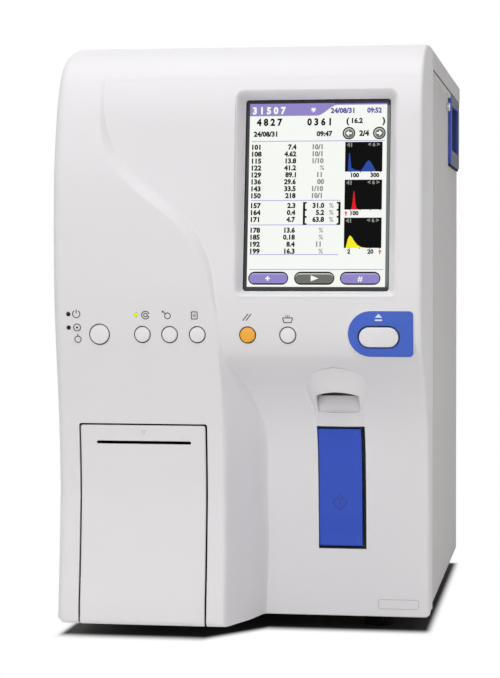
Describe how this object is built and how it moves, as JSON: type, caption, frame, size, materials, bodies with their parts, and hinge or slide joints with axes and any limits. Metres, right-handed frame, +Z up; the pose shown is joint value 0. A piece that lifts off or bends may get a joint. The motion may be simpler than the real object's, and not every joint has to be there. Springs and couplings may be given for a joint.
{
  "type": "hematology analyzer",
  "caption": "Benchtop blood cell counter: upright cabinet with a curved front, screen, soft keys, printer door, sampling hood with start paddle, side service door",
  "frame": {"origin": "on the table, under the middle of the body's box", "axes": "+X to the right seen from the front, +Y to the back, +Z up"},
  "size_m": [0.23, 0.45, 0.382],
  "materials": {
    "shell_plastic": "fine satin moulding",
    "cover_paint": "fine-textured powder coat",
    "key_plastic": "satin",
    "orange_plastic": "satin",
    "blue_plastic": "semi-gloss",
    "screen_glass": "coated",
    "panel_metal": "pressed sheet",
    "frame_steel": "zinc plated",
    "supply_metal": "sheet case",
    "pin_steel": "ground",
    "grey_plastic": "matt",
    "black_plastic": "matt",
    "rubber": "matt",
    "circuit_board": "solder mask",
    "clear_plastic": "polished",
    "paper": "matt",
    "lamp_green": "clear",
    "lamp_yellow": "lit"
  },
  "bodies": {
    "housing": {"front_bezel": "shell_plastic", "power_lamp": "lamp_green", "standby_lamp": "lamp_green", "busy_lamp": "lamp_yellow", "key_board": "circuit_board", "eject_plate": "blue_plastic", "display_surround": "shell_plastic", "display_glass": "screen_glass", "lcd_module": "panel_metal", "printer_door_pin": "pin_steel", "printer_body": "grey_plastic", "paddle_pin": "pin_steel", "sampler_hood": "shell_plastic", "needle_rail": "pin_steel", "rinse_block": "clear_plastic", "top_cover": "cover_paint", "left_cover": "cover_paint", "base_plate": "cover_paint", "foot_front_left": "rubber", "foot_rear_left": "rubber", "foot_front_right": "rubber", "foot_rear_right": "rubber", "hinge_pin_lower": "pin_steel", "hinge_pin_upper": "pin_steel", "front_frame": "frame_steel", "partition": "frame_steel", "rear_panel": "cover_paint", "power_inlet": "black_plastic", "earth_stud": "pin_steel", "diluent_port": "clear_plastic", "cleaner_port": "clear_plastic", "waste_port": "clear_plastic", "data_port": "pin_steel", "fan_frame": "black_plastic", "power_supply": "supply_metal", "main_board": "circuit_board", "bath_block": "clear_plastic", "syringe_body": "clear_plastic", "pump_body": "grey_plastic", "valve_block": "clear_plastic"},
    "right_door": {"right_door": "cover_paint", "side_grip": "blue_plastic"},
    "door_screw": {"door_screw": "pin_steel"},
    "printer_door": {"printer_door": "shell_plastic"},
    "platen": {"platen_roller": "rubber"},
    "paper": {"paper_roll": "paper"},
    "paddle": {"start_paddle": "blue_plastic"},
    "eject_key": {"eject_key": "key_plastic"},
    "carriage": {"needle_carriage": "black_plastic", "sample_needle": "pin_steel"},
    "fan": {"fan_rotor": "black_plastic"},
    "pump": {"pump_rotor": "black_plastic"},
    "switch": {"power_switch": "black_plastic"},
    "plunger": {"syringe_plunger": "black_plastic"},
    "power_key": {"power_key": "key_plastic"},
    "menu_key": {"menu_key": "key_plastic"},
    "mode_key": {"mode_key": "key_plastic"},
    "record_key": {"record_key": "key_plastic"},
    "clear_key": {"clear_key": "orange_plastic"},
    "drain_key": {"drain_key": "key_plastic"}
  },
  "joints": [
    {"name": "right_door_hinge", "type": "hinge", "parent": "housing", "child": "right_door", "pos_m": [0.1077, -0.112, 0.19], "axis": [0, 0, -1], "range_deg": [0, 90]},
    {"name": "door_screw_turn", "type": "hinge", "parent": "right_door", "child": "door_screw", "pos_m": [0.1127, 0.0635, 0.357], "axis": [1, 0, 0], "continuous": true},
    {"name": "printer_door_hinge", "type": "hinge", "parent": "housing", "child": "printer_door", "pos_m": [-0.05992, -0.20591, 0.0213], "axis": [1, 0, 0], "range_deg": [0, 80]},
    {"name": "paper_spin", "type": "hinge", "parent": "housing", "child": "paper", "pos_m": [-0.05951, -0.1495, 0.0419], "axis": [1, 0, 0], "continuous": true},
    {"name": "platen_spin", "type": "hinge", "parent": "housing", "child": "platen", "pos_m": [-0.05951, -0.18307, 0.122], "axis": [1, 0, 0], "continuous": true},
    {"name": "start_paddle_hinge", "type": "hinge", "parent": "housing", "child": "paddle", "pos_m": [0.0569, -0.14762, 0.1287], "axis": [1, 0, 0], "range_deg": [0, 4], "stiffness_Nm_per_rad": 0.3, "springref_deg": -2.86},
    {"name": "eject_key_press", "type": "slide", "parent": "housing", "child": "eject_key", "axis": [0, 0.9925, 0.1219], "range_m": [0, 0.0015], "stiffness_N_per_m": 400},
    {"name": "carriage_slide", "type": "slide", "parent": "housing", "child": "carriage", "axis": [0, 0, -1], "range_m": [0, 0.016]},
    {"name": "fan_spin", "type": "hinge", "parent": "housing", "child": "fan", "pos_m": [-0.0586, 0.18255, 0.27], "axis": [0, 1, 0], "continuous": true},
    {"name": "pump_spin", "type": "hinge", "parent": "housing", "child": "pump", "pos_m": [0.0358, 0.1243, 0.175], "axis": [1, 0, 0], "continuous": true},
    {"name": "power_switch_rock", "type": "hinge", "parent": "housing", "child": "switch", "pos_m": [-0.04, 0.189, 0.065], "axis": [1, 0, 0], "range_deg": [-7, 7]},
    {"name": "plunger_slide", "type": "slide", "parent": "housing", "child": "plunger", "axis": [0, 0, -1], "range_m": [0, 0.03]},
    {"name": "power_key_press", "type": "slide", "parent": "housing", "child": "power_key", "axis": [0, 1, 0], "range_m": [0, 0.0015], "stiffness_N_per_m": 400},
    {"name": "menu_key_press", "type": "slide", "parent": "housing", "child": "menu_key", "axis": [0, 1, 0], "range_m": [0, 0.0015], "stiffness_N_per_m": 400},
    {"name": "mode_key_press", "type": "slide", "parent": "housing", "child": "mode_key", "axis": [0, 1, 0], "range_m": [0, 0.0015], "stiffness_N_per_m": 400},
    {"name": "record_key_press", "type": "slide", "parent": "housing", "child": "record_key", "axis": [0, 1, 0], "range_m": [0, 0.0015], "stiffness_N_per_m": 400},
    {"name": "clear_key_press", "type": "slide", "parent": "housing", "child": "clear_key", "axis": [0, 1, 0], "range_m": [0, 0.0015], "stiffness_N_per_m": 400},
    {"name": "drain_key_press", "type": "slide", "parent": "housing", "child": "drain_key", "axis": [0, 1, 0], "range_m": [0, 0.0015], "stiffness_N_per_m": 400}
  ],
  "couplings": [
    {"joint": "platen_spin", "follows": "paper_spin", "ratio": -3.6667}
  ]
}
